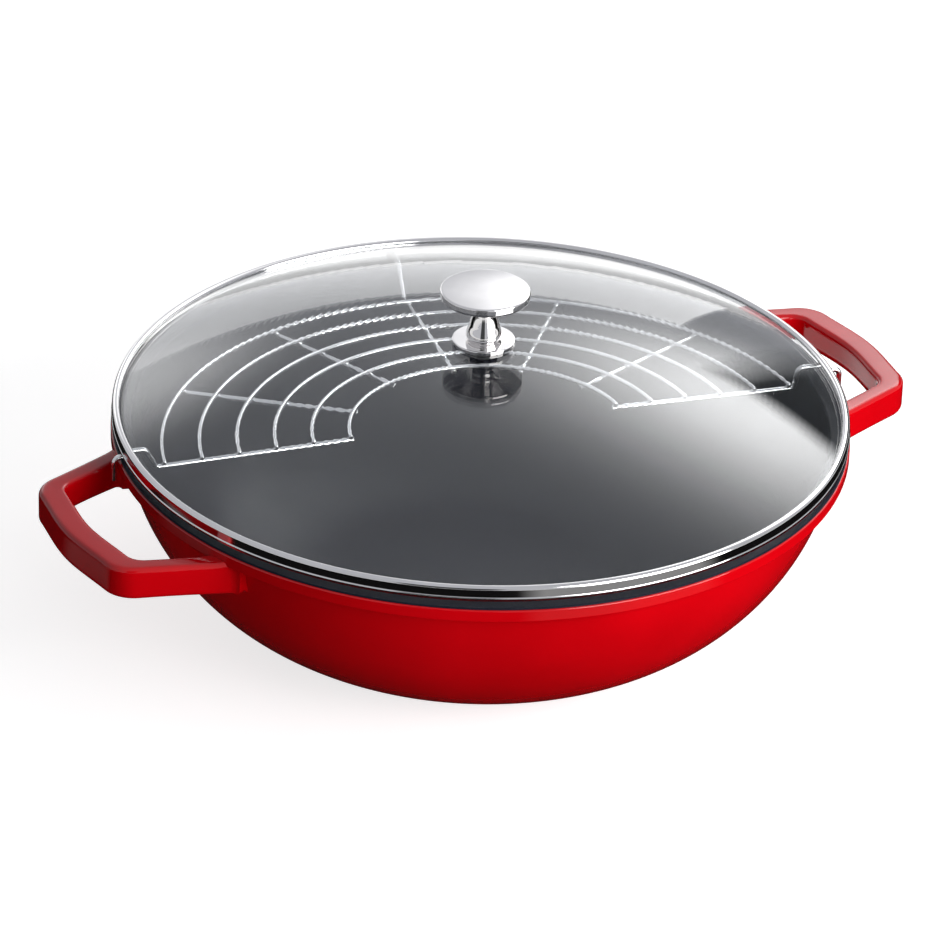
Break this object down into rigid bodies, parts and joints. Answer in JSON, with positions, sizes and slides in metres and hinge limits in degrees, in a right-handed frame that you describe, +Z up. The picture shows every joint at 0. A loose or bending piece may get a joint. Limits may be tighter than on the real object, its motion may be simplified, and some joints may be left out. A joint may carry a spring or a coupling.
{
  "type": "wok with glass lid and wire rack",
  "caption": "Enamelled cast-iron wok with loop handles, a lift-off domed glass lid with a steel knob, and a part-circle wire rack that hooks over the rim.",
  "frame": {"origin": "centre of the flat base that stands on the hob", "axes": "+Z up, +X through the right loop handle, +Y to the rear"},
  "size_m": [0.3868, 0.311, 0.1502],
  "materials": {
    "red_enamel": "glossy red vitreous enamel on cast iron",
    "black_enamel": "satin black vitreous enamel, slightly textured",
    "rack_wire": "electropolished steel wire",
    "lid_glass": "clear tempered glass",
    "band_steel": "polished rolled steel strip",
    "knob_steel": "mirror polished steel",
    "silicone": "matt dark grey silicone",
    "screw_steel": "plain steel"
  },
  "bodies": {
    "pan": {"wok_casting": "red_enamel", "inner_enamel": "black_enamel"},
    "rack": {"rack_arc_1": "rack_wire", "rack_arc_2": "rack_wire", "rack_arc_3": "rack_wire", "rack_arc_4": "rack_wire", "rack_arc_5": "rack_wire", "rack_arc_6": "rack_wire", "rack_end_bar_left": "rack_wire", "rack_end_bar_right": "rack_wire", "rack_spoke_1": "rack_wire", "rack_spoke_2": "rack_wire", "rack_spoke_3": "rack_wire", "rack_spoke_4": "rack_wire", "rack_spoke_5": "rack_wire"},
    "lid": {"lid_glass": "lid_glass", "lid_rim_band": "band_steel", "upper_gasket": "silicone", "knob_escutcheon": "knob_steel", "lid_knob": "knob_steel", "lower_gasket": "silicone", "knob_washer": "screw_steel", "knob_screw": "screw_steel"}
  },
  "joints": [
    {"name": "rack_lift", "type": "slide", "parent": "pan", "child": "rack", "axis": [0, 0, 1], "range_m": [0, 0.06]},
    {"name": "lid_lift", "type": "slide", "parent": "rack", "child": "lid", "axis": [0, 0, 1], "range_m": [0, 0.1]}
  ]
}
